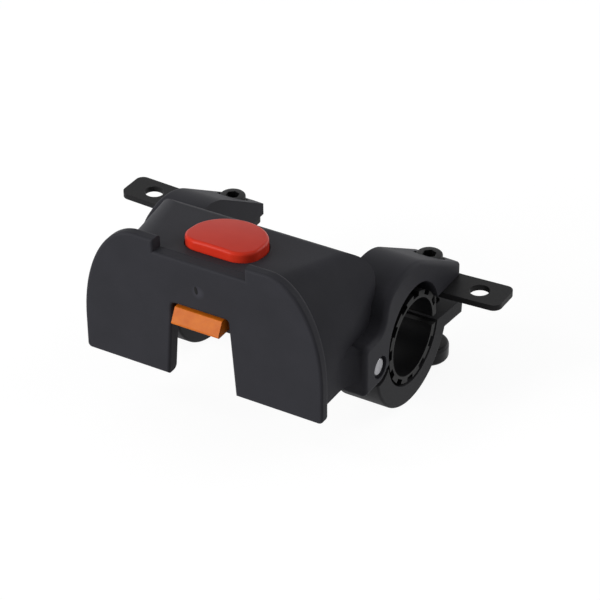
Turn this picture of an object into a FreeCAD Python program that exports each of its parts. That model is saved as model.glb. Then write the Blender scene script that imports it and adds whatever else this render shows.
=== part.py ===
# Quick-release basket mount for a bicycle handlebar, in millimetres.
# +X runs along the handlebar, +Y points back towards the rider, +Z is up.
# Everything is drawn about the axis of the fixed arms' bores. At the end it is moved so that the
# origin lies on the bar axis as the slack clamps hold it, midway between the two clamps.
import FreeCAD
import Part
import math
import os

V = FreeCAD.Vector
X_AXIS = V(1, 0, 0)
Y_AXIS = V(0, 1, 0)
Z_AXIS = V(0, 0, 1)

# Clamps: bore, reducing sleeve, arm and jaw
bar_d = 25.4
clamp_bore_d = 31.8
sleeve_play = 0.85
sleeve_inset = 0.2
sleeve_split = 3.0
sleeve_notches = 12
sleeve_notch_depth = 1.5
sleeve_notch_width = 3.4
clamp_inner_x = 28.0
clamp_width = 16.0
arm_r = 21.8
arm_shift_y = -3.5
arm_shift_z = 2.5
arm_throat_y = -16.6
jaw_wall = 7.0
arm_edge_r = 1.6
jaw_edge_r = 0.8
slack_angle = 6.0

# How far joined pieces run into each other and cuts run past a face
weld = 0.5
beyond = 1.0

# Hinge between arm and jaw
hinge_y = -21.1
hinge_z = -0.8
hinge_pin_d = 5.6
pin_fit = 0.03
hinge_boss_r = 6.0
hinge_gap = 0.6
knuckle_width = 8.0
knuckle_side_gap = 0.3
pin_inset = 0.6
pin_counterbore_d = 7.4
pin_counterbore_depth = 1.2
boss_top_z = 10.5
ear_front = 9.0
ear_foot_r = 1.0
boss_shoulder_r = 2.5
boss_throat_r = 5.0
throat_y = -19.0
arm_front_r = 8.0
boss_inner_angle = -20.0
knuckle_step = 0.2
pin_chamfer = 0.3

# Flanges that the clamp bolt draws together
bolt_y = 24.7
flange_end_y = 30.6
flange_bulge = 1.6
flange_top_z = 7.9
flange_bottom_z = 3.9
flange_gap_closed = 5.0
jaw_flange_t = 5.3
jaw_flange_more = 3.0
jaw_throat_drop = 4.0
jaw_throat_r = 1.0

# Clamp bolt and its round nut
bolt_d = 5.0
bolt_head_d = 8.5
bolt_head_h = 5.0
bolt_head_r = 0.5
bolt_socket_af = 4.0
bolt_socket_depth = 2.8
bolt_hole_play = 0.3
bolt_seat_z = 7.0
bolt_recess_play = 0.8
bolt_length = 34.0
nut_d = 14.0
nut_h = 5.6
nut_edge_r = 1.2
nut_above_bolt_end = 0.6
jaw_open_angle = 6.0

# Stay tabs under the bolts
tab_width = 12.5
tab_t = 2.0
tab_play = 0.25
tab_hole_d = 6.5
tab_hole_from_end = 9.4
tab_corner_r = 2.8
tab_slot_travel = 12.9
tab_reach_in = 63.2
tab_inner_margin = 5.0
tab_bend_angle = 2.5
tab_bend_beyond_clamp = 1.0
tab_bend_r = 6.0

# Front plate
plate_front_y = -51.5
plate_t = 4.2
plate_half = 41.4
plate_bottom_z = -4.1
plate_top_z = 42.0
plate_corner_x = 18.8
plate_corner_z = 34.5
plate_foot_r = 1.5
plate_edge_r = 0.9
plate_back_r = 1.6
top_notch_half = 15.7
top_notch_depth = 4.1
latch_notch_half_low = 11.7
latch_notch_half_top = 9.7
latch_notch_top_z = 22.1

# Housing behind the plate
rim = 2.8
wall = 3.0
housing_depth = 38.0
ridge_z = 33.3
ridge_r = 6.0
housing_bottom_z = -2.2
back_lean = 5.0
bar_room = 1.6
ridge_corner_x = 8.5
ridge_corner_z = 9.0
ridge_skim = 0.02
neck_out = 3.6
neck_ahead = 6.5
neck_root = 2.0

# Latch
latch_half = 8.15
latch_bottom_z = 16.8
latch_top_z = 21.8
latch_nose_out = 3.3
latch_nose_top_out = 0.6
latch_nose_r = 0.6
latch_nose_top_r = 0.4
latch_rail = 3.2
latch_nose_depth = 7.0
latch_length = 20.2
latch_bar = 3.0
latch_spigot_d = 2.8
latch_spigot_length = 2.0
latch_play = 0.35

# Push button and the wedges that turn its stroke into the latch's stroke
stroke = 3.5
button_half = 12.2
button_setback = 3.4
button_length = 21.0
button_corner_r = 6.5
button_proud = 3.8
button_dome_r = 140.0
button_edge_r = 1.0
button_gap = 0.35
button_flange = 1.6
button_flange_t = 1.6
button_seat_gap = 0.25
wedge_height = 4.4
wedge_setback = 16.2
wedge_land = 1.4
wedge_gap = 0.3
leg_side_gap = 0.3
leg_thickness = 4.2
leg_lead = 1.0
running_gap = 0.3

# Base cover under the mechanism, with its screws
cover_t = 2.1
cover_half = 24.0
cover_front_gap = 0.3
cover_back_gap = 4.9
cover_corner_r = 3.0
rail_t = 2.0
rail_height = 6.0
post_d = 3.6
post_height = 6.5
post_setback = 13.55
spring_stop_t = 2.0
screw_x = 19.6
screw_setback = 17.7
screw_boss_d = 7.4
screw_d = 3.0
screw_length = 9.0
screw_head_d = 5.6
screw_head_h = 2.0
screw_head_r = 0.9
screw_hole_play = 0.2
screw_pilot_play = 0.02

# Coil springs
button_spring_d = 6.2
button_spring_wire = 0.6
button_spring_turns = 6
latch_spring_d = 4.6
latch_spring_wire = 0.45
latch_spring_turns = 5
spring_seat_gap = 0.05
coil_steps = 12
wire_sides = 6

# Values that follow from the sizes above
bore_r = clamp_bore_d / 2
clamp_outer_x = clamp_inner_x + clamp_width
clamp_mid_x = clamp_inner_x + clamp_width / 2
jaw_r = bore_r + jaw_wall
hinge = V(0, hinge_y, hinge_z)
pin_r = hinge_pin_d / 2
plate_back_y = plate_front_y + plate_t
ridge_y = plate_front_y + housing_depth
button_front_y = plate_back_y + button_setback
button_back_y = button_front_y + button_length
latch_back_y = plate_front_y + latch_length
wedge_top_y = plate_front_y + wedge_setback
cover_back_y = ridge_y - wall - cover_back_gap
post_y = plate_front_y + post_setback
screw_y = plate_front_y + screw_setback
top_front_z = plate_top_z - top_notch_depth
top_slope = (ridge_z - top_front_z) / (ridge_y - plate_back_y)
jaw_top_z = flange_bottom_z - flange_gap_closed
jaw_flange_end_y = flange_end_y + jaw_flange_more
cover_top_z = latch_bottom_z - running_gap
cover_bottom_z = cover_top_z - cover_t
rail_x = latch_half + latch_play


def at_x(x):
    """Placing of a (y, z) outline on the plane at this X."""
    return lambda y, z: V(x, y, z)


def at_y(y):
    """Placing of an (x, z) outline on the plane at this Y."""
    return lambda x, z: V(x, y, z)


def at_z(z):
    """Placing of an (x, y) outline on the plane at this Z."""
    return lambda x, y: V(x, y, z)


def rounded_edges(corners, place):
    """Edges of a closed outline through (u, v, radius) corners, each rounded by its radius."""
    starts = []
    ends = []
    arcs = []
    count = len(corners)
    for i in range(count):
        u, v, r = corners[i]
        here = V(u, v, 0)
        before = V(corners[i - 1][0], corners[i - 1][1], 0)
        after = V(corners[(i + 1) % count][0], corners[(i + 1) % count][1], 0)
        to_before = (before - here).normalize()
        to_after = (after - here).normalize()
        if r <= 0:
            starts.append(here)
            ends.append(here)
            arcs.append(None)
            continue
        half = to_before.getAngle(to_after) / 2
        reach = r / math.tan(half)
        inward = (to_before + to_after).normalize()
        starts.append(here + to_before * reach)
        ends.append(here + to_after * reach)
        arcs.append(here + inward * (r / math.sin(half) - r))
    edges = []
    for i in range(count):
        if arcs[i] is not None:
            points = [place(p.x, p.y) for p in (starts[i], arcs[i], ends[i])]
            edges.append(Part.Arc(*points).toShape())
        following = starts[(i + 1) % count]
        if (following - ends[i]).Length > 1e-6:
            edges.append(Part.makeLine(place(ends[i].x, ends[i].y), place(following.x, following.y)))
    return edges


def prism(corners, place, along):
    """Solid made by pulling a rounded outline along a vector."""
    return Part.Face(Part.Wire(rounded_edges(corners, place))).extrude(along)


def rod(radius, start, along):
    """Round rod from a point along a vector."""
    return Part.makeCylinder(radius, along.Length, start, along)


def block(x0, x1, y0, y1, z0, z1):
    """Rectangular solid between two corners."""
    return Part.makeBox(x1 - x0, y1 - y0, z1 - z0, V(x0, y0, z0))


def joined(first, *others):
    """One solid made of several, without the seams between them."""
    return first.fuse(list(others)).removeSplitter()


def both_sides(shape):
    """The shape and its mirror image across the middle plane."""
    return [shape, shape.mirror(V(0, 0, 0), X_AXIS)]


def slope_z(y, below=0.0):
    """Height of the housing's sloping top at this Y, or of a parallel face below it."""
    return top_front_z + top_slope * (y - plate_back_y) - below * math.hypot(1, top_slope)


def shield_wire(half, bottom, top, corner_x, corner_z, place):
    """Upright outline with straight sides below and quarter-ellipse upper corners."""
    shoulder_x = half - corner_x
    shoulder_z = top - corner_z
    right = Part.Ellipse(place(shoulder_x, top), place(half, shoulder_z), place(shoulder_x, shoulder_z))
    left = Part.Ellipse(place(-shoulder_x, top), place(-half, shoulder_z), place(-shoulder_x, shoulder_z))
    corners = [place(half, bottom), place(half, shoulder_z), place(shoulder_x, top)]
    corners += [place(-shoulder_x, top), place(-half, shoulder_z), place(-half, bottom)]
    edges = [
        Part.makeLine(corners[0], corners[1]),
        quarter(right, corners[1], corners[2]),
        Part.makeLine(corners[2], corners[3]),
        quarter(left, corners[3], corners[4]),
        Part.makeLine(corners[4], corners[5]),
        Part.makeLine(corners[5], corners[0]),
    ]
    return Part.Wire(Part.__sortEdges__(edges))


def quarter(ellipse, start, end):
    """The shorter stretch of an ellipse between two of its points."""
    a = ellipse.parameter(start)
    b = ellipse.parameter(end)
    if (b - a) % (2 * math.pi) > math.pi:
        a, b = b, a
    return Part.ArcOfEllipse(ellipse, a, b).toShape()


def d_corners(grow):
    """Corners of the button's D outline, straight in front and half round behind."""
    half = button_half + grow
    front = button_front_y - grow
    back = button_back_y + grow
    corner = button_corner_r + grow
    round_r = half - 0.01
    return [(half, front, corner), (half, back, round_r), (-half, back, round_r), (-half, front, corner)]


def front_plate():
    """Plate that carries the basket's bracket, with its two notches."""
    outline = shield_wire(plate_half, plate_bottom_z, plate_top_z, plate_corner_x, plate_corner_z,
                          at_y(plate_front_y))
    plate = Part.Face(outline).extrude(Y_AXIS * plate_t)
    low = [e for e in plate.Edges if abs(e.BoundBox.ZMax - plate_bottom_z) < 1e-3]
    plate = plate.makeFillet(plate_foot_r, [e for e in low if e.BoundBox.YLength > plate_t / 2])
    lower = [
        (latch_notch_half_low, plate_bottom_z - beyond, 0),
        (latch_notch_half_low, plate_bottom_z, 0),
        (latch_notch_half_top, latch_notch_top_z, plate_edge_r),
        (-latch_notch_half_top, latch_notch_top_z, plate_edge_r),
        (-latch_notch_half_low, plate_bottom_z, 0),
        (-latch_notch_half_low, plate_bottom_z - beyond, 0),
    ]
    plate = plate.cut(prism(lower, at_y(plate_front_y - beyond), Y_AXIS * (plate_t + 2 * beyond)))
    upper = block(-top_notch_half, top_notch_half, plate_front_y - beyond, plate_back_y + beyond,
                  top_front_z, plate_top_z + beyond)
    plate = plate.cut(upper)
    rim_edges = [e for e in plate.Edges if e.BoundBox.YMax < plate_front_y + 1e-3]
    plate = plate.makeFillet(plate_edge_r, rim_edges)
    behind = [e for e in plate.Edges if e.BoundBox.YMin > plate_back_y - 1e-3]
    behind = [e for e in behind if abs(e.CenterOfMass.x) > top_notch_half + plate_edge_r]
    behind = [e for e in behind if e.CenterOfMass.z > plate_bottom_z + plate_foot_r]
    return plate.makeFillet(plate_back_r, behind)


def housing(inset):
    """Sloping housing behind the plate, drawn in by a wall where asked."""
    bottom = housing_bottom_z - (beyond if inset else 0.0)
    back = ridge_y - inset
    front = plate_back_y - weld
    side = [
        (front, bottom, 0),
        (front, slope_z(front, inset - ridge_skim), 0),
        (back, slope_z(back, inset - ridge_skim), ridge_r - inset),
        (back - back_lean, bottom, 0),
    ]
    half = plate_half - rim - inset
    low = bottom - beyond
    end = back + beyond
    ahead = shield_wire(half, low, slope_z(front, inset), plate_corner_x, plate_corner_z, at_y(front))
    behind = shield_wire(half, low, slope_z(end, inset), ridge_corner_x, ridge_corner_z, at_y(end))
    body = Part.makeLoft([ahead, behind], True, True)
    return body.common(prism(side, at_x(-half - beyond), X_AXIS * (2 * (half + beyond))))


def on_arm(angle):
    """Point on the arm's round back at this angle in radians, as (y, z)."""
    return arm_shift_y + arm_r * math.cos(angle), arm_shift_z + arm_r * math.sin(angle)


def tangent_angle(end_y, end_z):
    """Angle at which a line from behind touches the arm's round back from above."""
    y = end_y - arm_shift_y
    z = end_z - arm_shift_z
    return math.atan2(z, y) + math.acos(arm_r / math.hypot(y, z))


def flange_plan(x0, x1, z0, z1, end_y):
    """Plan of a clamp half: square sides and a back that bulges round the bolt."""
    front_y = hinge_y - ear_front - beyond
    a = V(x0, end_y, z0)
    b = V(clamp_mid_x, end_y + flange_bulge, z0)
    c = V(x1, end_y, z0)
    edges = [
        Part.Arc(a, b, c).toShape(),
        Part.makeLine(c, V(x1, front_y, z0)),
        Part.makeLine(V(x1, front_y, z0), V(x0, front_y, z0)),
        Part.makeLine(V(x0, front_y, z0), a),
    ]
    return Part.Face(Part.Wire(edges)).extrude(Z_AXIS * (z1 - z0))


def arm():
    """Fixed upper half of the right clamp, before its bore is cut."""
    place = at_x(clamp_inner_x)
    leave = tangent_angle(flange_end_y, flange_top_z)
    enter = math.acos((arm_throat_y - arm_shift_y) / arm_r)
    ty, tz = on_arm(leave)
    over_y = flange_end_y + flange_bulge + beyond
    over_z = flange_top_z + (flange_top_z - tz) / (flange_end_y - ty) * (over_y - flange_end_y)
    front_y = hinge_y - ear_front
    foot_z = hinge_z - hinge_boss_r
    edges = [
        Part.makeLine(place(0, flange_bottom_z), place(over_y, flange_bottom_z)),
        Part.makeLine(place(over_y, flange_bottom_z), place(over_y, over_z)),
        Part.makeLine(place(over_y, over_z), place(ty, tz)),
        Part.Arc(place(ty, tz), place(*on_arm((leave + enter) / 2)), place(*on_arm(enter))).toShape(),
        Part.makeLine(place(*on_arm(enter)), place(throat_y, boss_top_z)),
        Part.makeLine(place(throat_y, boss_top_z), place(front_y, boss_top_z)),
        Part.makeLine(place(front_y, boss_top_z), place(front_y, foot_z)),
        Part.makeLine(place(front_y, foot_z), place(hinge_y, foot_z)),
        Part.Arc(place(hinge_y, foot_z), place(*on_boss((boss_inner_angle - 90) / 2)),
                 place(*on_boss(boss_inner_angle))).toShape(),
        Part.makeLine(place(*on_boss(boss_inner_angle)), place(0, flange_bottom_z)),
    ]
    body = Part.Face(Part.Wire(edges)).extrude(X_AXIS * clamp_width)
    body = body.makeFillet(boss_shoulder_r, edges_through(body, front_y, boss_top_z))
    body = body.makeFillet(boss_throat_r, edges_through(body, throat_y, boss_top_z))
    body = body.makeFillet(arm_front_r, edges_through(body, *on_arm(enter)))
    body = body.makeFillet(ear_foot_r, edges_through(body, front_y, foot_z))
    body = body.common(flange_plan(clamp_inner_x, clamp_outer_x, -arm_r, 2 * arm_r, flange_end_y))
    outer = [e for e in body.Edges if e.BoundBox.XMin > clamp_outer_x - 1e-3 and outside_bore(e)]
    return body.makeFillet(arm_edge_r, outer)


def on_boss(angle):
    """Point on the hinge boss's round at this angle, as (y, z)."""
    turn = math.radians(angle)
    return hinge_y + hinge_boss_r * math.cos(turn), hinge_z + hinge_boss_r * math.sin(turn)


def edges_through(shape, y, z):
    """Edges along X that pass through this point of the side view."""
    found = []
    for edge in shape.Edges:
        box = edge.BoundBox
        if box.XLength > beyond and math.hypot(box.YMin - y, box.ZMin - z) < 1e-3:
            found.append(edge)
    return found


def outside_bore(edge):
    """Whether an edge of a clamp half stays outside the bore all along."""
    middle = edge.valueAt((edge.FirstParameter + edge.LastParameter) / 2)
    return math.hypot(middle.y, middle.z) > bore_r


def mount_body():
    """Plate, housing and the two fixed arms, moulded in one piece."""
    room = block(clamp_inner_x - running_gap, clamp_outer_x, hinge_y - ear_front, 0,
                 housing_bottom_z - beyond, hinge_z)
    shell = housing(0.0).cut([housing(wall)] + both_sides(room))
    shell = shell.fuse(front_plate())
    arms = both_sides(arm())
    necks = both_sides(neck())
    bosses = [screw_boss(side) for side in (-1, 1)]
    body = joined(shell, *arms, *necks, *bosses)
    cuts = [rod(bore_r + bar_room, V(-clamp_inner_x, 0, 0), X_AXIS * (2 * clamp_inner_x))]
    for side in (-1, 1):
        cuts += clamp_cuts(side)
        pilot = screw_d / 2 + screw_pilot_play
        depth = screw_length - cover_t + beyond
        cuts.append(rod(pilot, V(side * screw_x, screw_y, cover_top_z), Z_AXIS * depth))
    well = Z_AXIS * (plate_top_z - latch_top_z + beyond)
    cuts.append(prism(d_corners(button_gap), at_z(latch_top_z), well))
    return body.cut(cuts)


def clamp_cuts(side):
    """Bore, knuckle slot, pin hole and bolt hole of one fixed arm."""
    inner = V(side * (clamp_inner_x - beyond), 0, 0)
    out = X_AXIS * (side * (clamp_width + 2 * beyond))
    bores = [rod(bore_r, inner, out)]
    for swing in (slack_angle, slack_angle + jaw_open_angle):
        bores.append(rod(bore_r - sleeve_play + running_gap, inner + swung_axis(swing), out))
    slot_half = knuckle_width / 2 + knuckle_side_gap
    x0 = side * clamp_mid_x - slot_half
    x1 = side * clamp_mid_x + slot_half
    slot_r = hinge_boss_r + hinge_gap
    slots = [
        rod(slot_r, V(x0, hinge_y, hinge_z), X_AXIS * (2 * slot_half)),
        block(x0, x1, hinge_y, 0, hinge_z - slot_r, hinge_z),
        block(x0, x1, hinge_y - slot_r, hinge_y, housing_bottom_z - 2 * slot_r, hinge_z),
    ]
    pin = rod(pin_r + pin_fit, inner + hinge, out)
    end = V(side * (clamp_outer_x + beyond), hinge_y, hinge_z)
    counterbore = rod(pin_counterbore_d / 2, end, X_AXIS * (-side * (pin_counterbore_depth + beyond)))
    middle = V(side * clamp_mid_x, bolt_y, 0)
    hole = rod(bolt_d / 2 + bolt_hole_play, middle - Z_AXIS * arm_r, Z_AXIS * (2 * arm_r))
    recess = rod(bolt_head_d / 2 + bolt_recess_play, middle + Z_AXIS * bolt_seat_z, Z_AXIS * arm_r)
    return bores + slots + [pin, counterbore, hole, recess]


def swung_axis(angle):
    """Where the bore axis of a jaw let down by this angle lies."""
    return FreeCAD.Rotation(X_AXIS, -angle).multVec(-hinge) + hinge


def neck():
    """Hollow curve that leads from the housing's right side into the arm's front."""
    half = plate_half - rim
    front_y = hinge_y - ear_front
    low = housing_bottom_z
    start = V(half, front_y - neck_ahead, low)
    end = V(half + neck_out, front_y, low)
    curve = Part.Ellipse(end - Y_AXIS * (2 * neck_ahead), start, end - Y_AXIS * neck_ahead)
    inner = half - neck_root
    edges = [
        quarter(curve, start, end),
        Part.makeLine(end, end + Y_AXIS * weld),
        Part.makeLine(end + Y_AXIS * weld, V(inner, front_y + weld, low)),
        Part.makeLine(V(inner, front_y + weld, low), V(inner, front_y - neck_ahead, low)),
        Part.makeLine(V(inner, front_y - neck_ahead, low), start),
    ]
    body = Part.Face(Part.Wire(Part.__sortEdges__(edges))).extrude(Z_AXIS * (boss_top_z - low))
    top = [e for e in body.Edges if e.BoundBox.ZMin > boss_top_z - 1e-3 and e.BoundBox.XLength > weld]
    return body.makeFillet(boss_shoulder_r, [e for e in top if e.BoundBox.YLength > weld])


def screw_boss(side):
    """Pillar under the housing's top that takes a cover screw."""
    top = slope_z(screw_y, wall / 2)
    return rod(screw_boss_d / 2, V(side * screw_x, screw_y, cover_top_z), Z_AXIS * (top - cover_top_z))


def base_cover():
    """Cover that closes the mechanism from below, with the latch's rails and the springs' seats."""
    front = plate_back_y + cover_front_gap
    outline = [(cover_half, front, 0), (cover_half, cover_back_y, cover_corner_r),
               (-cover_half, cover_back_y, cover_corner_r), (-cover_half, front, 0)]
    cover = prism(outline, at_z(cover_bottom_z), Z_AXIS * cover_t)
    low = cover_top_z - weld
    high = cover_top_z + rail_height
    rails = both_sides(block(rail_x, rail_x + rail_t, front, cover_back_y, low, high))
    post = rod(post_d / 2, V(0, post_y, low), Z_AXIS * (post_height + weld))
    stop = block(-rail_x - weld, rail_x + weld, cover_back_y - spring_stop_t, cover_back_y, low, high)
    cover = joined(cover, *rails, post, stop)
    for side in (-1, 1):
        foot = V(side * screw_x, screw_y, cover_bottom_z - beyond)
        cover = cover.cut(rod(screw_d / 2 + screw_hole_play, foot, Z_AXIS * (cover_t + 2 * beyond)))
    return cover


def cover_screw(side):
    """Pan-head screw that holds the base cover to its boss."""
    place = V(side * screw_x, screw_y, cover_bottom_z)
    head = rod(screw_head_d / 2, place, Z_AXIS * -screw_head_h)
    rounded = [e for e in head.Edges if abs(e.BoundBox.ZMax - (cover_bottom_z - screw_head_h)) < 1e-3]
    head = head.makeFillet(screw_head_r, rounded)
    return joined(head, rod(screw_d / 2, place, Z_AXIS * screw_length))


def latch():
    """Catch with a slanted nose, two side rails and the wedges that the button pushes on."""
    nose_y = plate_front_y - latch_nose_out
    nose_top_y = plate_front_y - latch_nose_top_out
    profile = [(nose_y, latch_bottom_z, latch_nose_r), (nose_top_y, latch_top_z, latch_nose_top_r),
               (latch_back_y, latch_top_z, 0), (latch_back_y, latch_bottom_z, 0)]
    body = prism(profile, at_x(-latch_half), X_AXIS * (2 * latch_half))
    window_half = latch_half - latch_rail
    window = block(-window_half, window_half, nose_top_y + latch_nose_depth, latch_back_y - latch_bar,
                   latch_bottom_z - beyond, latch_top_z + beyond)
    wedge_top_z = latch_top_z + wedge_height
    wedge_end_y = wedge_top_y + wedge_land
    wedge = [(wedge_top_y - wedge_height, latch_top_z, 0), (wedge_top_y, wedge_top_z, 0),
             (wedge_end_y, wedge_top_z, 0), (wedge_end_y, latch_top_z, 0)]
    wedges = both_sides(prism(wedge, at_x(window_half), X_AXIS * latch_rail))
    middle_z = (latch_bottom_z + latch_top_z) / 2
    root = V(0, latch_back_y - weld, middle_z)
    spigot = rod(latch_spigot_d / 2, root, Y_AXIS * (latch_spigot_length + weld))
    return joined(body.cut(window), *wedges, spigot)


def release_button():
    """Red push button: domed D-shaped cap, stop flange and two wedge legs."""
    mid_y = (button_front_y + button_back_y) / 2
    top = V(0, mid_y, slope_z(mid_y) + button_proud)
    up = V(0, -top_slope, 1).normalize()
    low_z = latch_top_z
    cap = prism(d_corners(0.0), at_z(low_z), Z_AXIS * plate_top_z)
    cap = cap.common(Part.makeSphere(button_dome_r, top - up * button_dome_r))
    crown = [e for e in cap.Edges if e.BoundBox.ZMin > slope_z(button_front_y)]
    cap = cap.makeFillet(button_edge_r, crown)
    flange_top = wall + button_seat_gap
    flange = prism(d_corners(button_flange), at_z(low_z), Z_AXIS * (plate_top_z - low_z))
    ends = (button_front_y - 2 * button_flange, button_back_y + 2 * button_flange)
    slab = [(ends[0], slope_z(ends[0], flange_top), 0), (ends[1], slope_z(ends[1], flange_top), 0),
            (ends[1], slope_z(ends[1], flange_top + button_flange_t), 0),
            (ends[0], slope_z(ends[0], flange_top + button_flange_t), 0)]
    slab = prism(slab, at_x(-2 * button_half), X_AXIS * (4 * button_half))
    above = [(ends[0], slope_z(ends[0], flange_top + button_flange_t / 2), 0),
             (ends[1], slope_z(ends[1], flange_top + button_flange_t / 2), 0),
             (ends[1], 2 * plate_top_z, 0), (ends[0], 2 * plate_top_z, 0)]
    above = prism(above, at_x(-2 * button_half), X_AXIS * (4 * button_half))
    button = joined(cap.common(above), flange.common(slab))
    return joined(button, *both_sides(button_leg(flange_top + button_flange_t / 2)))


def button_leg(depth):
    """Right-hand wedge leg under the button, standing off the latch's wedge by a small gap."""
    tip_z = latch_top_z + stroke + running_gap
    shift = wedge_gap * math.sqrt(2)
    tip_y = wedge_top_y - (latch_top_z + wedge_height - tip_z) - shift
    front_y = tip_y - leg_lead
    back_y = front_y + leg_thickness
    leg = [(front_y, tip_z, 0), (tip_y, tip_z, 0), (back_y, tip_z + back_y - tip_y, 0),
           (back_y, slope_z(back_y, depth), 0), (front_y, slope_z(front_y, depth), 0)]
    window_half = latch_half - latch_rail
    return prism(leg, at_x(window_half + leg_side_gap), X_AXIS * (latch_rail - 2 * leg_side_gap))


def coil(diameter, wire, turns, start, along):
    """Compression spring between two seats, its wire bent in short straight steps."""
    steps = turns * coil_steps
    radius = (diameter - wire) / 2
    rise = (along.Length - wire) / steps
    path = []
    for i in range(steps + 1):
        angle = 2 * math.pi * i / coil_steps
        path.append(V(radius * math.cos(angle), radius * math.sin(angle), wire / 2 + rise * i))
    heading = (path[1] - path[0]).normalize()
    spoke = heading.cross(Z_AXIS).normalize() * (wire / 2)
    ring = []
    for j in range(wire_sides):
        ring.append(path[0] + FreeCAD.Rotation(heading, 360.0 / wire_sides * j).multVec(spoke))
    faces = [polygon_face(ring)]
    for i in range(1, steps + 1):
        heading = (path[i] - path[i - 1]).normalize()
        following = (path[min(i + 1, steps)] - path[i]).normalize() if i < steps else heading
        mitre = heading + following
        moved = [p + heading * ((path[i] - p).dot(mitre) / heading.dot(mitre)) for p in ring]
        for j in range(wire_sides):
            faces.append(polygon_face([ring[j - 1], ring[j], moved[j], moved[j - 1]]))
        ring = moved
    faces.append(polygon_face(ring))
    shell = Part.makeShell(faces)
    shell.sewShape()
    spring = Part.makeSolid(shell)
    spring.Placement = FreeCAD.Placement(start, FreeCAD.Rotation(Z_AXIS, along))
    return spring


def polygon_face(points):
    """Flat face with these corners."""
    return Part.Face(Part.makePolygon(points + [points[0]]))


def button_spring():
    """Spring that lifts the button, round the cover's post."""
    top = slope_z(post_y + button_spring_d / 2, wall + button_seat_gap + button_flange_t)
    foot = cover_top_z + spring_seat_gap
    return coil(button_spring_d, button_spring_wire, button_spring_turns, V(0, post_y, foot),
                Z_AXIS * (top - spring_seat_gap - foot))


def latch_spring():
    """Spring that pushes the latch forward, from the cover's stop."""
    start = latch_back_y + spring_seat_gap
    end = cover_back_y - spring_stop_t - spring_seat_gap
    return coil(latch_spring_d, latch_spring_wire, latch_spring_turns,
                V(0, start, (latch_bottom_z + latch_top_z) / 2), Y_AXIS * (end - start))


def lower_jaw():
    """Hinged lower half of the right clamp, drawn closed and then let down to its slack place."""
    x0 = clamp_inner_x
    far = X_AXIS * clamp_width
    ring = rod(jaw_r, V(x0, 0, 0), far)
    end_y = jaw_flange_end_y + flange_bulge + beyond
    below = block(x0, clamp_outer_x, -2 * jaw_r, end_y, -2 * jaw_r, jaw_top_z)
    under_z = jaw_top_z - jaw_flange_t
    throat_z = under_z - jaw_throat_drop
    ring_y = math.sqrt(jaw_r ** 2 - throat_z ** 2)
    tongue = [(0, jaw_top_z, 0), (end_y, jaw_top_z, 0), (end_y, under_z, 0),
              (bolt_y - nut_d / 2, under_z, jaw_throat_r), (ring_y, throat_z, 0), (0, throat_z, 0)]
    body = joined(ring.common(below), prism(tongue, at_x(x0), far))
    body = body.common(flange_plan(x0, clamp_outer_x, -2 * jaw_r, jaw_r, jaw_flange_end_y))
    sides = [e for e in body.Edges if e.BoundBox.XLength < 1e-3 and outside_bore(e)]
    body = body.makeFillet(jaw_edge_r, sides)
    ears = []
    knuckle_x = clamp_mid_x - knuckle_width / 2
    relief = hinge_boss_r + hinge_gap
    for start, end in ((x0 - beyond, knuckle_x), (knuckle_x + knuckle_width, clamp_outer_x + beyond)):
        ears.append(rod(relief, V(start, hinge_y, hinge_z), X_AXIS * (end - start)))
    knuckle = rod(hinge_boss_r - knuckle_step, V(knuckle_x, hinge_y, hinge_z), X_AXIS * knuckle_width)
    body = joined(body.cut(ears), knuckle)
    start = V(x0 - beyond, 0, 0)
    across = X_AXIS * (clamp_width + 2 * beyond)
    bore = rod(bore_r, start, across)
    pin = rod(pin_r + pin_fit, start + hinge, across)
    body = body.cut([bore, pin, bolt_slot()])
    return let_down(body)


def bolt_slot():
    """Long hole in the jaw's flange, wide enough for its swing past the upright bolt."""
    radius = bolt_d / 2 + bolt_hole_play
    reach = bolt_y - hinge_y
    drop = hinge_z - (jaw_top_z - jaw_flange_t)
    swing = math.radians(slack_angle + jaw_open_angle)
    out = reach / math.cos(swing) - reach + drop * math.tan(swing)
    low = V(clamp_mid_x, bolt_y, -2 * jaw_r)
    tall = Z_AXIS * (2 * jaw_r)
    ends = [rod(radius, low, tall), rod(radius, low + Y_AXIS * out, tall)]
    middle = block(clamp_mid_x - radius, clamp_mid_x + radius, bolt_y, bolt_y + out, -2 * jaw_r, 0)
    return joined(ends[0], ends[1], middle)


def let_down(shape):
    """Turn a piece of the jaw about the hinge, from closed to slack."""
    loose = shape.copy()
    loose.rotate(V(0, hinge_y, hinge_z), X_AXIS, -slack_angle)
    return loose


def hinge_pin():
    """Plain steel pin through the arm's ears and the jaw's knuckle."""
    start = V(clamp_inner_x + pin_inset, hinge_y, hinge_z)
    pin = rod(pin_r, start, X_AXIS * (clamp_width - 2 * pin_inset))
    return pin.makeChamfer(pin_chamfer, [e for e in pin.Edges if e.BoundBox.XLength < 1e-3])


def sleeve():
    """Split reducing ring with notches round its outside, seated in the slack jaw."""
    start = V(clamp_inner_x + sleeve_inset, 0, 0)
    along = X_AXIS * (clamp_width - 2 * sleeve_inset)
    outer = bore_r - sleeve_play
    ring = rod(outer, start, along).cut(rod(bar_d / 2, start, along))
    floor = outer - sleeve_notch_depth
    x0 = start.x - beyond
    x1 = start.x + along.x + beyond
    cuts = [block(x0, x1, 0, outer + beyond, -sleeve_split / 2, sleeve_split / 2)]
    for i in range(1, sleeve_notches):
        notch = block(x0, x1, floor, outer + beyond, -sleeve_notch_width / 2, sleeve_notch_width / 2)
        notch.rotate(V(0, 0, 0), X_AXIS, 360.0 / sleeve_notches * i)
        cuts.append(notch)
    return let_down(ring.cut(cuts))


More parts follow.
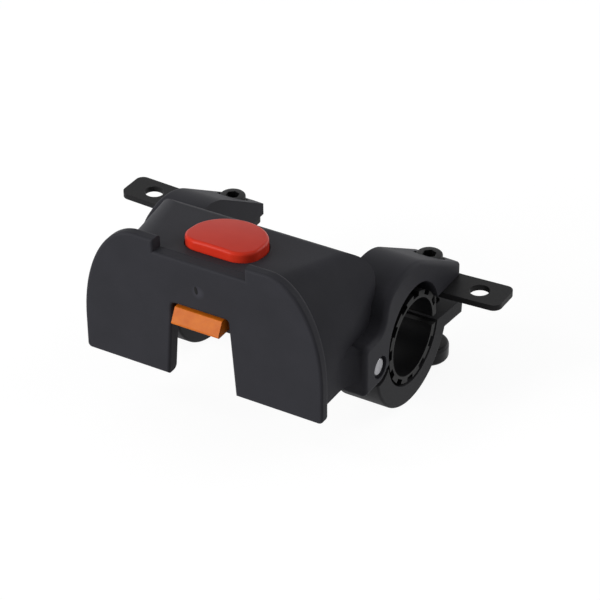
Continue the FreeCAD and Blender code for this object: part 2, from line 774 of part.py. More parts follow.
def clamp_bolt():
    """Socket-head cap screw through both flanges."""
    seat = V(clamp_mid_x, bolt_y, bolt_seat_z)
    head = rod(bolt_head_d / 2, seat, Z_AXIS * bolt_head_h)
    rims = [e for e in head.Edges if e.BoundBox.ZMin > bolt_seat_z + bolt_head_h - 1e-3]
    head = head.makeFillet(bolt_head_r, rims)
    shank = rod(bolt_d / 2, seat, Z_AXIS * -bolt_length)
    corner = bolt_socket_af / math.sqrt(3)
    hexagon = []
    for i in range(6):
        angle = math.radians(60 * i)
        hexagon.append((clamp_mid_x + corner * math.cos(angle), bolt_y + corner * math.sin(angle), 0))
    floor_z = bolt_seat_z + bolt_head_h - bolt_socket_depth
    socket = prism(hexagon, at_z(floor_z), Z_AXIS * (bolt_socket_depth + beyond))
    return joined(head, shank).cut(socket)


def round_nut():
    """Round lock nut on the lower end of the bolt."""
    low = V(clamp_mid_x, bolt_y, bolt_seat_z - bolt_length + nut_above_bolt_end)
    nut = rod(nut_d / 2, low, Z_AXIS * nut_h)
    nut = nut.makeFillet(nut_edge_r, [e for e in nut.Edges if e.BoundBox.ZLength < 1e-3])
    return nut.cut(rod(bolt_d / 2 + pin_fit, low - Z_AXIS * beyond, Z_AXIS * (nut_h + 2 * beyond)))


def stay_tab(drawn_out):
    """Slotted steel strip under the right arm's flange, bent up a little beyond the clamp."""
    top = flange_bottom_z - tab_play
    end_x = tab_reach_in + drawn_out
    bolt_r = bolt_d / 2 + bolt_hole_play
    slot_out = clamp_mid_x + bolt_r + drawn_out
    slot_in = slot_out - tab_slot_travel - 2 * bolt_r
    inner_x = slot_in - tab_inner_margin
    bend_x = clamp_outer_x + tab_bend_beyond_clamp + drawn_out
    rise = math.tan(math.radians(tab_bend_angle))
    side = [
        (inner_x, top, 0),
        (bend_x, top, tab_bend_r),
        (end_x, top + (end_x - bend_x) * rise, 0),
        (end_x, top - tab_t + (end_x - bend_x) * rise, 0),
        (bend_x, top - tab_t, tab_bend_r + tab_t),
        (inner_x, top - tab_t, 0),
    ]
    low_y = bolt_y - tab_width / 2
    strip = prism(side, at_y(low_y), Y_AXIS * tab_width)
    plan = [(inner_x, low_y, tab_corner_r), (end_x, low_y, tab_corner_r),
            (end_x, low_y + tab_width, tab_corner_r), (inner_x, low_y + tab_width, tab_corner_r)]
    low_z = top - tab_width
    deep = Z_AXIS * (2 * tab_width)
    strip = strip.common(prism(plan, at_z(low_z), deep))
    hole_x = end_x - tab_hole_from_end
    middle = V(hole_x, bolt_y, top - tab_t / 2 + (hole_x - bend_x) * rise)
    upright = FreeCAD.Rotation(Y_AXIS, -tab_bend_angle).multVec(Z_AXIS)
    hole = rod(tab_hole_d / 2, middle - upright * tab_width, upright * (2 * tab_width))
    slot = joined(rod(bolt_r, V(slot_in + bolt_r, bolt_y, low_z), deep),
                  rod(bolt_r, V(slot_out - bolt_r, bolt_y, low_z), deep),
                  block(slot_in + bolt_r, slot_out - bolt_r, bolt_y - bolt_r, bolt_y + bolt_r,
                        low_z, low_z + deep.z))
    return strip.cut([hole, slot])


def export(name, shape):
    """Write one piece, moved so that the bar axis is the origin."""
    placed = shape.copy()
    placed.translate(-swung_axis(slack_angle))
    placed.exportStep("parts/" + name + ".step")


def mirrored(shape):
    """Left-hand twin of a right-hand piece."""
    return shape.mirror(V(0, 0, 0), X_AXIS)


os.makedirs("parts", exist_ok=True)
export("mount_body", mount_body())
export("base_cover", base_cover())
export("left_cover_screw", cover_screw(-1))
export("right_cover_screw", cover_screw(1))
export("latch", latch())
export("release_button", release_button())
export("button_spring", button_spring())
export("latch_spring", latch_spring())
for name, piece in (
    ("lower_jaw", lower_jaw()),
    ("hinge_pin", hinge_pin()),
    ("sleeve", sleeve()),
    ("clamp_bolt", clamp_bolt()),
    ("round_nut", round_nut()),
):
    export("right_" + name, piece)
    export("left_" + name, mirrored(piece))
export("right_stay_tab", stay_tab(0.0))
export("left_stay_tab", mirrored(stay_tab(tab_slot_travel)))
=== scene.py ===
import math

import bmesh
import bpy
from mathutils import Matrix, Vector


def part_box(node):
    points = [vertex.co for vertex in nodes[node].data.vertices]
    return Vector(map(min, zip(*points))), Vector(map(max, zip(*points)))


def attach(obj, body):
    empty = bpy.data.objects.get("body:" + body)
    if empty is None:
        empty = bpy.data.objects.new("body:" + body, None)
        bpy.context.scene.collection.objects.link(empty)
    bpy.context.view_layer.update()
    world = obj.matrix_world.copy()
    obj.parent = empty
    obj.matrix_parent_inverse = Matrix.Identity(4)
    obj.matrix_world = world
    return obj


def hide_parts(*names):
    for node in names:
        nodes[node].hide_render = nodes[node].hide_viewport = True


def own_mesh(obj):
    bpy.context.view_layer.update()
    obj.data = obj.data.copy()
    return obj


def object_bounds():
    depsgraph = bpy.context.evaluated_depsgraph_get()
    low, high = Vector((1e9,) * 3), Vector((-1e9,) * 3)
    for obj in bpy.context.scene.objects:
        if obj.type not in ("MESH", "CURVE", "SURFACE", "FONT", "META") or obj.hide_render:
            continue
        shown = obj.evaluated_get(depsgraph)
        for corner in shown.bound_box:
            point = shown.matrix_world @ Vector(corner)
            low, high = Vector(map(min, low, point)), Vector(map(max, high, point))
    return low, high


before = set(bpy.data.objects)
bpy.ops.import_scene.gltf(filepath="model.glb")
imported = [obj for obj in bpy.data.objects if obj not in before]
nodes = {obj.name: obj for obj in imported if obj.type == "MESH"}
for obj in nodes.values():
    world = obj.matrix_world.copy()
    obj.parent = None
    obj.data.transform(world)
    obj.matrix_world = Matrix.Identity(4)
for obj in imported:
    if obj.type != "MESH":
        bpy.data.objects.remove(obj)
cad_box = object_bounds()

# The body: front plate, housing and both upper clamp arms in one shot of black glass-filled nylon.
# The tool was spark-eroded, so the skin is matt with a fine even grain and hardly any gloss.
# A gate mark is left on the plate where the sprue was broken off.
MM = 0.001


def linear(code):
    """Linear colour of an sRGB hex code."""
    channels = []
    for start in (1, 3, 5):
        value = int(code[start:start + 2], 16) / 255
        channels.append(value / 12.92 if value <= 0.04045 else ((value + 0.055) / 1.055) ** 2.4)
    return (*channels, 1.0)


def add(owner, kind, inputs=None, **settings):
    """A shader node with its settings, its values and the sockets that feed it."""
    node = owner.node_tree.nodes.new("ShaderNode" + kind)
    for key, value in settings.items():
        setattr(node, key, value)
    for key, value in (inputs or {}).items():
        if isinstance(value, bpy.types.NodeSocket):
            owner.node_tree.links.new(value, node.inputs[key])
        else:
            node.inputs[key].default_value = value
    return node


def blank(name):
    """An empty node material and its output."""
    material = bpy.data.materials.new(name)
    material.use_nodes = True
    material.node_tree.nodes.clear()
    return material, add(material, "OutputMaterial")


def dress(material, *names):
    """Put a material on CAD nodes."""
    for name in names:
        nodes[name].data.materials.clear()
        nodes[name].data.materials.append(material)


def only(piece):
    """Make this piece the one thing that operators act on."""
    bpy.ops.object.select_all(action="DESELECT")
    piece.select_set(True)
    bpy.context.view_layer.objects.active = piece


def started(name):
    """The active piece, named, with its place, turn and scale moved into its mesh."""
    piece = bpy.context.object
    piece.name = name
    piece.data.name = name
    only(piece)
    bpy.ops.object.transform_apply(location=True, rotation=True, scale=True)
    return piece


def close_up(piece, angle):
    """Merge doubles, turn the faces outwards and smooth all but the edges sharper than this angle."""
    only(piece)
    bpy.ops.object.mode_set(mode="EDIT")
    bpy.ops.mesh.select_all(action="SELECT")
    bpy.ops.mesh.remove_doubles(threshold=0.001 * MM)
    bpy.ops.mesh.normals_make_consistent(inside=False)
    bpy.ops.object.mode_set(mode="OBJECT")
    bpy.ops.object.shade_smooth_by_angle(angle=math.radians(angle))


# Spark-eroded nylon: an even matt grain over slow cloudy shifts of the black, 12 mm wide.
# The grain is drawn 0.35 mm across, a little coarser than life, so that it shows.
# Round a point beside the gate the skin is laid paler, in a patch about 4 mm wide.
gate = Vector((-0.96, -51.468, 31.5)) * MM
pale_centre = gate + Vector((0.7, 0, -0.5)) * MM
body_nylon, out = blank("spark_textured_black_nylon")
place = add(body_nylon, "TexCoord").outputs["Object"]
cloud = add(body_nylon, "TexNoise", {"Vector": place, "Scale": 1 / (12 * MM), "Detail": 3.0})
grain = add(body_nylon, "TexNoise", {"Vector": place, "Scale": 1 / (0.35 * MM), "Detail": 2.0})
shade = add(body_nylon, "Mix", {
    "Factor": cloud.outputs["Fac"], "A": linear("#2a2a2e"), "B": linear("#333338")}, data_type="RGBA")
centred = add(body_nylon, "Mapping", {"Vector": place, "Location": -pale_centre})
reach = add(body_nylon, "VectorMath", {0: centred.outputs["Vector"]}, operation="LENGTH")
pale = add(body_nylon, "MapRange", {
    "Value": reach.outputs["Value"], "From Min": 1.0 * MM, "From Max": 2.4 * MM, "To Min": 0.55, "To Max": 0.0})
shade = add(body_nylon, "Mix", {
    "Factor": pale.outputs["Result"], "A": shade.outputs["Result"], "B": linear("#43434a")}, data_type="RGBA")
rough = add(body_nylon, "MapRange", {"Value": grain.outputs["Fac"], "To Min": 0.52, "To Max": 0.66})
bump = add(body_nylon, "Bump", {"Height": grain.outputs["Fac"], "Strength": 0.10, "Distance": 0.05 * MM})
skin = add(body_nylon, "BsdfPrincipled", {
    "Base Color": shade.outputs["Result"], "Roughness": rough.outputs["Result"],
    "Normal": bump.outputs["Normal"], "IOR": 1.53, "Specular IOR Level": 0.08})
body_nylon.node_tree.links.new(skin.outputs["BSDF"], out.inputs["Surface"])
dress(body_nylon, "mount_body")

# The gate mark: a dark sliver standing about a tenth of a millimetre off the plate.
# It is darker than the grained skin round it: painted shade, standing in for the shadow in the gate's slit.
sliver_half = 1.4 * MM
sunk = Vector((0, 0.02, 0)) * MM
bpy.ops.object.select_all(action="DESELECT")
bpy.ops.mesh.primitive_uv_sphere_add(segments=24, ring_count=16, radius=sliver_half, location=gate,
                                     rotation=(0, math.radians(-8), 0), scale=(0.42, 0.09, 1.0))
shaded_slit = started("gate_mark_painted_shade")
bpy.ops.object.mode_set(mode="EDIT")
bpy.ops.mesh.select_all(action="SELECT")
bpy.ops.mesh.bisect(plane_co=gate + sunk, plane_no=(0, 1, 0), use_fill=True, clear_outer=True,
                    threshold=0.0001 * MM)
bpy.ops.object.mode_set(mode="OBJECT")
close_up(shaded_slit, 50)

# Painted shade of the gate's slit: nearly black and dull, with a 0.25 mm mottle.
slit_shade_nylon, out = blank("painted_slit_shade_nylon")
place = add(slit_shade_nylon, "TexCoord").outputs["Object"]
slit_mottle = add(slit_shade_nylon, "TexNoise", {"Vector": place, "Scale": 1 / (0.25 * MM), "Detail": 3.0})
shade = add(slit_shade_nylon, "Mix", {
    "Factor": slit_mottle.outputs["Fac"], "A": linear("#0b0b0c"), "B": linear("#19191b")}, data_type="RGBA")
skin = add(slit_shade_nylon, "BsdfPrincipled", {
    "Base Color": shade.outputs["Result"], "Roughness": 0.7, "IOR": 1.53, "Specular IOR Level": 0.15})
slit_shade_nylon.node_tree.links.new(skin.outputs["BSDF"], out.inputs["Surface"])
# The sliver's near-black colour is painted shade for the slit's shadow.
shaded_slit.data.materials.append(slit_shade_nylon)
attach(shaded_slit, "mount")

# The base cover: a flat moulding of the same black nylon, closing the mechanism from below.
# Two zinc-plated pan-head screws for plastic, with a cross recess, hold it to bosses in the housing.
dress(body_nylon, "base_cover")


def finish_with(piece, kind, **settings):
    """Add a modifier with its settings and apply it."""
    only(piece)
    modifier = piece.modifiers.new(kind.lower(), kind)
    for key, value in settings.items():
        setattr(modifier, key, value)
    bpy.ops.object.modifier_apply(modifier=modifier.name)


def with_tool(piece, tool, operation):
    """Join a closed tool shape to a piece or cut it away, and drop the tool."""
    finish_with(piece, "BOOLEAN", object=tool, operation=operation, solver="EXACT")
    bpy.data.objects.remove(tool)


def choose(piece, kind, wanted):
    """Go into edit mode with only the faces or edges selected that pass a test."""
    only(piece)
    bpy.ops.object.mode_set(mode="EDIT")
    bpy.ops.mesh.select_mode(type=kind)
    bpy.ops.mesh.select_all(action="DESELECT")
    shape = bmesh.from_edit_mesh(piece.data)
    for part in shape.faces if kind == "FACE" else shape.edges:
        part.select_set(wanted(part))
    bmesh.update_edit_mesh(piece.data)


def threaded_rod(axis, low, high, radius, pitch):
    """A rod along Z with a rolled thread, cut flat at both ends."""
    depth = 0.6 * pitch
    bpy.ops.object.select_all(action="DESELECT")
    bpy.ops.mesh.primitive_plane_add(size=MM, location=(axis.x, axis.y, low - 1.3 * pitch))
    rod = bpy.context.object
    bpy.ops.object.mode_set(mode="EDIT")
    bpy.ops.mesh.select_mode(type="VERT")
    bpy.ops.mesh.select_all(action="SELECT")
    bpy.ops.mesh.merge(type="CENTER")
    bpy.ops.transform.translate(value=(radius - depth, 0, 0))
    # One pitch of the profile: the flank out, the crest and the flank back in.
    for outward, upward in ((depth, 0.42), (0, 0.16), (-depth, 0.42)):
        bpy.ops.mesh.extrude_region_move(TRANSFORM_OT_translate={"value": (outward, 0, upward * pitch)})
    bpy.ops.object.mode_set(mode="OBJECT")
    turns = math.ceil((high - low) / pitch) + 3
    finish_with(rod, "SCREW", axis="Z", screw_offset=pitch, iterations=turns, steps=24, render_steps=24)
    rod = started("threaded_rod")
    bpy.ops.object.mode_set(mode="EDIT")
    for height, side in ((high, 1), (low, -1)):
        bpy.ops.mesh.select_all(action="SELECT")
        bpy.ops.mesh.bisect(plane_co=(0, 0, height), plane_no=(0, 0, side), use_fill=True, clear_outer=True,
                            threshold=0.0001 * MM)
    bpy.ops.object.mode_set(mode="OBJECT")
    close_up(rod, 30)
    return rod


def copied(piece, name, step):
    """A copy with its own mesh, moved along X."""
    only(piece)
    bpy.ops.object.duplicate(linked=False)
    bpy.context.object.location = (step, 0, 0)
    return started(name)


# Zinc plating: bright grey with a cloudy bloom about 0.8 mm across.
zinc, out = blank("zinc_plated_steel")
place = add(zinc, "TexCoord").outputs["Object"]
bloom = add(zinc, "TexNoise", {"Vector": place, "Scale": 1 / (0.8 * MM), "Detail": 3.0})
shade = add(zinc, "Mix", {
    "Factor": bloom.outputs["Fac"], "A": linear("#8c8e90"), "B": linear("#b9babc")}, data_type="RGBA")
rough = add(zinc, "MapRange", {"Value": bloom.outputs["Fac"], "To Min": 0.25, "To Max": 0.42})
skin = add(zinc, "BsdfPrincipled", {
    "Base Color": shade.outputs["Result"], "Metallic": 1.0, "Roughness": rough.outputs["Result"]})
zinc.node_tree.links.new(skin.outputs["BSDF"], out.inputs["Surface"])

low, high = (Vector(corner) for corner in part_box("right_cover_screw"))
axis = (low + high) / 2
pan_height = 2.0 * MM
pan_rounding = 0.9 * MM
thread_radius = 1.5 * MM
thread_pitch = 1.0 * MM
bpy.ops.object.select_all(action="DESELECT")
bpy.ops.mesh.primitive_cylinder_add(vertices=48, radius=(high.x - low.x) / 2, depth=pan_height,
                                    location=(axis.x, axis.y, low.z + pan_height / 2))
right_screw = started("right_cross_screw")
choose(right_screw, "EDGE", lambda edge: all(v.co.z < low.z + 0.01 * MM for v in edge.verts))
bpy.ops.mesh.bevel(offset=pan_rounding, segments=4, affect="EDGES")
bpy.ops.object.mode_set(mode="OBJECT")
for blade_size in ((0.8, 3.0, 2.4), (3.0, 0.8, 2.4)):
    bpy.ops.object.select_all(action="DESELECT")
    bpy.ops.mesh.primitive_cube_add(size=MM, location=(axis.x, axis.y, low.z), scale=blade_size)
    blade = started("recess_blade")
    choose(blade, "FACE", lambda face: face.normal.z > 0.9)
    bpy.ops.transform.resize(value=(0.55, 0.55, 1.0))
    bpy.ops.object.mode_set(mode="OBJECT")
    with_tool(right_screw, blade, "DIFFERENCE")
shank = threaded_rod(axis, low.z + 0.8 * pan_height, high.z, thread_radius, thread_pitch)
with_tool(right_screw, shank, "UNION")
close_up(right_screw, 30)
right_screw.data.materials.append(zinc)
left_screw = copied(right_screw, "left_cross_screw", -2 * axis.x)
for screw, node in ((right_screw, "right_cover_screw"), (left_screw, "left_cover_screw")):
    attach(screw, "mount")
    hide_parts(node)


def coil(name, length, diameter, wire, turns):
    """A wound spring along Z from the origin, its wire cut square at both ends."""
    bpy.ops.object.select_all(action="DESELECT")
    bpy.ops.mesh.primitive_circle_add(vertices=12, radius=wire / 2, rotation=(math.pi / 2, 0, 0))
    spring = started(name)
    bpy.ops.object.mode_set(mode="EDIT")
    bpy.ops.mesh.select_all(action="SELECT")
    bpy.ops.transform.translate(value=((diameter - wire) / 2, 0, wire / 2))
    bpy.ops.object.mode_set(mode="OBJECT")
    finish_with(spring, "SCREW", axis="Z", screw_offset=(length - wire) / turns, iterations=turns,
                steps=36, render_steps=36)
    choose(spring, "EDGE", lambda edge: edge.is_boundary)
    bpy.ops.mesh.fill_holes(sides=0)
    bpy.ops.object.mode_set(mode="OBJECT")
    close_up(spring, 50)
    spring.data.materials.append(zinc)
    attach(spring, "mount")
    return spring


low, high = (Vector(corner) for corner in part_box("button_spring"))
foot = Vector(((low.x + high.x) / 2, (low.y + high.y) / 2, low.z))
length = high.z - low.z
button_coil = coil("button_coil", length, diameter=high.x - low.x, wire=0.6 * MM, turns=6)
button_coil.location = foot
button_coil = started("button_coil")
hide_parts("button_spring")
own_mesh(button_coil)

low, high = (Vector(corner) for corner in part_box("latch_spring"))
foot = Vector(((low.x + high.x) / 2, high.y, (low.z + high.z) / 2))
length = high.y - low.y
catch_coil = coil("catch_coil", length, diameter=high.x - low.x, wire=0.45 * MM, turns=5)
catch_coil.location = foot
catch_coil.rotation_euler = (math.pi / 2, 0, 0)
catch_coil = started("catch_coil")
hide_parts("latch_spring")
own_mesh(catch_coil)

# The catch: orange acetal with a satin skin, rubbed along its sliding direction.
# It slides on the cover's rails and shows its slanted nose in the plate's lower notch.
# The rubbed lines are drawn 0.5 mm apart, coarser than life, so that they show.
orange_acetal, out = blank("satin_orange_acetal")
place = add(orange_acetal, "TexCoord").outputs["Object"]
drift = add(orange_acetal, "TexNoise", {"Vector": place, "Scale": 1 / (3.5 * MM), "Detail": 3.0})
rub = add(orange_acetal, "Mapping", {"Vector": place, "Scale": (1.0, 0.08, 1.0)})
lines = add(orange_acetal, "TexNoise", {
    "Vector": rub.outputs["Vector"], "Scale": 1 / (0.5 * MM), "Detail": 2.0})
shade = add(orange_acetal, "Mix", {
    "Factor": drift.outputs["Fac"], "A": linear("#bb5208"), "B": linear("#dc7a1e")}, data_type="RGBA")
rough = add(orange_acetal, "MapRange", {"Value": lines.outputs["Fac"], "To Min": 0.38, "To Max": 0.50})
skin = add(orange_acetal, "BsdfPrincipled", {
    "Base Color": shade.outputs["Result"], "Roughness": rough.outputs["Result"],
    "IOR": 1.48, "Specular IOR Level": 0.16})
orange_acetal.node_tree.links.new(skin.outputs["BSDF"], out.inputs["Surface"])
dress(orange_acetal, "latch")

# The push button: red acetal, moulded with a satin skin, guided in the housing's top.
# Fine grain and a slight drift of the pigment keep it from looking flat.
# The grain is drawn 0.4 mm across, coarser than life, so that it shows.
red_acetal, out = blank("satin_red_acetal")
place = add(red_acetal, "TexCoord").outputs["Object"]
drift = add(red_acetal, "TexNoise", {"Vector": place, "Scale": 1 / (6 * MM), "Detail": 2.0})
grain = add(red_acetal, "TexNoise", {"Vector": place, "Scale": 1 / (0.4 * MM), "Detail": 2.0})
shade = add(red_acetal, "Mix", {
    "Factor": drift.outputs["Fac"], "A": linear("#d02f1d"), "B": linear("#da3a25")}, data_type="RGBA")
bump = add(red_acetal, "Bump", {"Height": grain.outputs["Fac"], "Strength": 0.12, "Distance": 0.04 * MM})
skin = add(red_acetal, "BsdfPrincipled", {
    "Base Color": shade.outputs["Result"], "Roughness": 0.32, "Normal": bump.outputs["Normal"],
    "IOR": 1.48, "Specular IOR Level": 0.11})
red_acetal.node_tree.links.new(skin.outputs["BSDF"], out.inputs["Surface"])
dress(red_acetal, "release_button")

# The lower jaws: the same nylon as the body from a coarser tool, a little lighter and rougher.
# Each swings on its hinge pin and closes round the reducing sleeve.
# The tool's grain is about 0.5 mm across and shows as a faint mottle.
jaw_nylon, out = blank("coarse_textured_black_nylon")
place = add(jaw_nylon, "TexCoord").outputs["Object"]
grain = add(jaw_nylon, "TexNoise", {"Vector": place, "Scale": 1 / (0.5 * MM), "Detail": 3.0})
shade = add(jaw_nylon, "Mix", {
    "Factor": grain.outputs["Fac"], "A": linear("#29292b"), "B": linear("#363638")}, data_type="RGBA")
bump = add(jaw_nylon, "Bump", {"Height": grain.outputs["Fac"], "Strength": 0.25, "Distance": 0.08 * MM})
skin = add(jaw_nylon, "BsdfPrincipled", {
    "Base Color": shade.outputs["Result"], "Roughness": 0.62, "Normal": bump.outputs["Normal"],
    "IOR": 1.53, "Specular IOR Level": 0.08})
jaw_nylon.node_tree.links.new(skin.outputs["BSDF"], out.inputs["Surface"])
dress(jaw_nylon, "left_lower_jaw", "right_lower_jaw")

# The hinge pins: plain steel pins cropped to length, so their ends are bright and torn.
# Each is pressed through the arm's ear and the jaw's knuckle, below the face of the ear.
pin_steel, out = blank("cropped_bright_steel")
place = add(pin_steel, "TexCoord").outputs["Object"]
drawn = add(pin_steel, "Mapping", {
    "Vector": place, "Rotation": (math.radians(35), 0, 0), "Scale": (1.0, 1.0, 0.3)})
torn = add(pin_steel, "TexNoise", {
    "Vector": drawn.outputs["Vector"], "Scale": 1 / (0.7 * MM), "Detail": 4.0, "Roughness": 0.65})
shade = add(pin_steel, "Mix", {
    "Factor": torn.outputs["Fac"], "A": linear("#56565a"), "B": linear("#c4c4c8")}, data_type="RGBA")
rough = add(pin_steel, "MapRange", {"Value": torn.outputs["Fac"], "To Min": 0.28, "To Max": 0.55})
bump = add(pin_steel, "Bump", {"Height": torn.outputs["Fac"], "Strength": 0.5, "Distance": 0.15 * MM})
skin = add(pin_steel, "BsdfPrincipled", {
    "Base Color": shade.outputs["Result"], "Metallic": 1.0, "Roughness": rough.outputs["Result"],
    "Normal": bump.outputs["Normal"]})
pin_steel.node_tree.links.new(skin.outputs["BSDF"], out.inputs["Surface"])
dress(pin_steel, "left_hinge_pin", "right_hinge_pin")

# The reducing sleeves: split notched rings of unfilled nylon from a polished tool, held in the clamps.
# They have a low waxy gloss and faint drag lines along the bar, drawn 0.6 mm apart so that they show.
sleeve_nylon, out = blank("smooth_black_nylon")
place = add(sleeve_nylon, "TexCoord").outputs["Object"]
drag = add(sleeve_nylon, "Mapping", {"Vector": place, "Scale": (0.05, 1.0, 1.0)})
lines = add(sleeve_nylon, "TexNoise", {
    "Vector": drag.outputs["Vector"], "Scale": 1 / (0.6 * MM), "Detail": 2.0})
shade = add(sleeve_nylon, "Mix", {
    "Factor": lines.outputs["Fac"], "A": linear("#0f0f10"), "B": linear("#161617")}, data_type="RGBA")
rough = add(sleeve_nylon, "MapRange", {"Value": lines.outputs["Fac"], "To Min": 0.36, "To Max": 0.50})
skin = add(sleeve_nylon, "BsdfPrincipled", {
    "Base Color": shade.outputs["Result"], "Roughness": rough.outputs["Result"],
    "IOR": 1.53, "Specular IOR Level": 0.07})
sleeve_nylon.node_tree.links.new(skin.outputs["BSDF"], out.inputs["Surface"])
dress(sleeve_nylon, "left_sleeve", "right_sleeve")

# The clamp bolts and round nuts: M5 cap screws with a knurled head and a hexagon socket, and plain nuts.
# They are steel with a black oxide skin, slightly oily, in patches about 1.5 mm across.
# Each bolt draws a clamp's two flanges together.
black_oxide, out = blank("black_oxide_steel")
place = add(black_oxide, "TexCoord").outputs["Object"]
patch = add(black_oxide, "TexNoise", {"Vector": place, "Scale": 1 / (1.5 * MM), "Detail": 4.0})
shade = add(black_oxide, "Mix", {
    "Factor": patch.outputs["Fac"], "A": linear("#141415"), "B": linear("#222224")}, data_type="RGBA")
rough = add(black_oxide, "MapRange", {"Value": patch.outputs["Fac"], "To Min": 0.32, "To Max": 0.50})
skin = add(black_oxide, "BsdfPrincipled", {
    "Base Color": shade.outputs["Result"], "Metallic": 0.25, "Roughness": rough.outputs["Result"],
    "Specular IOR Level": 0.15})
black_oxide.node_tree.links.new(skin.outputs["BSDF"], out.inputs["Surface"])
dress(black_oxide, "left_round_nut", "right_round_nut")

low, high = (Vector(corner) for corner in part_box("right_clamp_bolt"))
axis = (low + high) / 2
cap_radius = (high.x - low.x) / 2
cap_height = 5.0 * MM
cap_rounding = 0.5 * MM
socket_flats = 4.0 * MM
socket_depth = 2.8 * MM
flutes = 44
flute_margin = 0.05 * MM
flute_depth = 0.15 * MM
thread_radius = 2.5 * MM
thread_pitch = 0.8 * MM
bpy.ops.object.select_all(action="DESELECT")
bpy.ops.mesh.primitive_cylinder_add(vertices=2 * flutes, radius=cap_radius, depth=cap_height,
                                    location=(axis.x, axis.y, high.z - cap_height / 2))
right_bolt = started("right_cap_screw")
choose(right_bolt, "EDGE", lambda edge: all(v.co.z > high.z - 0.01 * MM for v in edge.verts))
bpy.ops.mesh.bevel(offset=cap_rounding, segments=3, affect="EDGES")
bpy.ops.object.mode_set(mode="OBJECT")


def is_flute(face):
    """Every second of the head's tall side faces."""
    if abs(face.normal.z) > 0.1 or face.calc_area() < 0.3 * MM * MM:
        return False
    spot = face.calc_center_median() - axis
    return int(math.degrees(math.atan2(spot.y, spot.x)) % 360 * flutes / 180) % 2 == 0


choose(right_bolt, "FACE", is_flute)
bpy.ops.mesh.inset(thickness=flute_margin, depth=-flute_depth, use_individual=True)
bpy.ops.object.mode_set(mode="OBJECT")
bpy.ops.object.select_all(action="DESELECT")
bpy.ops.mesh.primitive_cylinder_add(vertices=6, radius=socket_flats / math.sqrt(3), depth=2 * socket_depth,
                                    location=(axis.x, axis.y, high.z), rotation=(0, 0, math.radians(10)))
with_tool(right_bolt, started("hexagon_key"), "DIFFERENCE")
shank = threaded_rod(axis, low.z, high.z - cap_height + 1.0 * MM, thread_radius, thread_pitch)
with_tool(right_bolt, shank, "UNION")
close_up(right_bolt, 30)
right_bolt.data.materials.append(black_oxide)
left_bolt = copied(right_bolt, "left_cap_screw", -2 * axis.x)
for bolt, node in ((right_bolt, "right_clamp_bolt"), (left_bolt, "left_clamp_bolt")):
    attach(bolt, "mount")
    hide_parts(node)

# The stay tabs: punched steel strip under black powder paint, with a faint orange peel 0.9 mm across.
# Each is held under a bolt by its slot and slides along the bar.
black_paint, out = blank("black_powder_paint")
place = add(black_paint, "TexCoord").outputs["Object"]
peel = add(black_paint, "TexNoise", {"Vector": place, "Scale": 1 / (0.9 * MM), "Detail": 2.0})
shade = add(black_paint, "Mix", {
    "Factor": peel.outputs["Fac"], "A": linear("#181819"), "B": linear("#202021")}, data_type="RGBA")
bump = add(black_paint, "Bump", {"Height": peel.outputs["Fac"], "Strength": 0.2, "Distance": 0.05 * MM})
skin = add(black_paint, "BsdfPrincipled", {
    "Base Color": shade.outputs["Result"], "Roughness": 0.48, "Normal": bump.outputs["Normal"],
    "IOR": 1.5, "Specular IOR Level": 0.12})
black_paint.node_tree.links.new(skin.outputs["BSDF"], out.inputs["Surface"])
dress(black_paint, "left_stay_tab", "right_stay_tab")

# The studio: a pale seamless floor under the nuts, soft lamps and the camera at the photo's angle.
# Camera, mirror and glass rays see the floor as white; it keeps the object's soft shadow.


def seen_directly(owner):
    """One for a camera, mirror or glass ray, and nought for a ray that only brings light."""
    path = add(owner, "LightPath")
    seen = path.outputs["Is Camera Ray"]
    for ray in ("Is Glossy Ray", "Is Transmission Ray"):
        seen = add(owner, "Math", {0: seen, 1: path.outputs[ray]}, operation="MAXIMUM").outputs["Value"]
    return seen


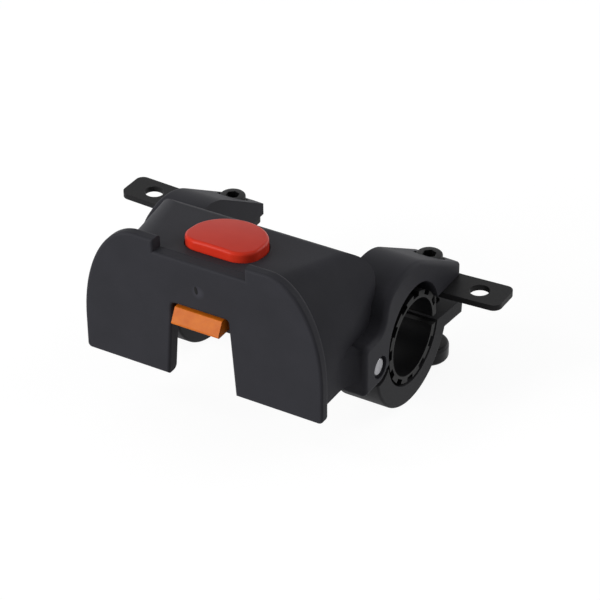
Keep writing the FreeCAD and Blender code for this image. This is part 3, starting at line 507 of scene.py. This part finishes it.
floor_z = cad_box[0][2] - 0.2 * MM
bpy.ops.object.select_all(action="DESELECT")
bpy.ops.mesh.primitive_plane_add(size=6.0, location=(0, 0, floor_z))
floor = bpy.context.object
floor.name = "floor"
floor_white, out = blank("white_floor")
flat = add(floor_white, "BsdfDiffuse", {"Color": linear("#cfcfcf")})
glow = add(floor_white, "Emission", {"Color": linear("#ffffff"), "Strength": 1.22})
amount = add(floor_white, "Math", {0: seen_directly(floor_white), 1: 0.75}, operation="MULTIPLY")
both = add(floor_white, "MixShader", {
    0: amount.outputs["Value"], 1: flat.outputs["BSDF"], 2: glow.outputs["Emission"]})
floor_white.node_tree.links.new(both.outputs["Shader"], out.inputs["Surface"])
floor.data.materials.append(floor_white)

world = bpy.data.worlds.new("studio")
bpy.context.scene.world = world
world.use_nodes = True
world.node_tree.nodes.clear()
out = add(world, "OutputWorld")
dim = add(world, "Background", {"Color": linear("#ffffff"), "Strength": 0.20})
white = add(world, "Background", {"Color": linear("#ffffff"), "Strength": 1.0})
sky = add(world, "MixShader", {
    0: seen_directly(world), 1: dim.outputs["Background"], 2: white.outputs["Background"]})
world.node_tree.links.new(sky.outputs["Shader"], out.inputs["Surface"])

aim = Vector((15.66, -20.12, 15.79)) * MM
for name, spot, size, power in (
    ("key", (-0.9, -1.5, 0.5), 0.9, 24.0),
    ("overhead", (-0.3, 0.0, 1.5), 1.2, 1.5),
    ("edge_light", (-0.75, -0.95, 1.25), 0.35, 3.0),
    ("right_fill", (1.1, 0.3, 1.2), 0.8, 3.0),
    ("rear", (0.9, 1.5, 0.25), 1.0, 8.0),
):
    lamp = bpy.data.lights.new(name, "AREA")
    lamp.size = size
    lamp.energy = power
    holder = bpy.data.objects.new(name, lamp)
    bpy.context.scene.collection.objects.link(holder)
    holder.location = spot
    holder.rotation_euler = (aim - Vector(spot)).to_track_quat("-Z", "Y").to_euler()

azimuth = math.radians(30.7)
elevation = math.radians(33.3)
roll = math.radians(-0.5)
distance = 731.5 * MM
level = math.cos(elevation)
back = Vector((math.sin(azimuth) * level, -math.cos(azimuth) * level, math.sin(elevation)))
lens = bpy.data.cameras.new("photo_angle")
lens.sensor_width = 36.0
lens.lens = 145.8
camera = bpy.data.objects.new("photo_angle", lens)
bpy.context.scene.collection.objects.link(camera)
camera.location = aim + back * distance
turn = (-back).to_track_quat("-Z", "Y").to_matrix() @ Matrix.Rotation(roll, 3, "Z")
camera.rotation_euler = turn.to_euler()
bpy.context.scene.camera = camera
bpy.context.scene.view_settings.view_transform = "Standard"
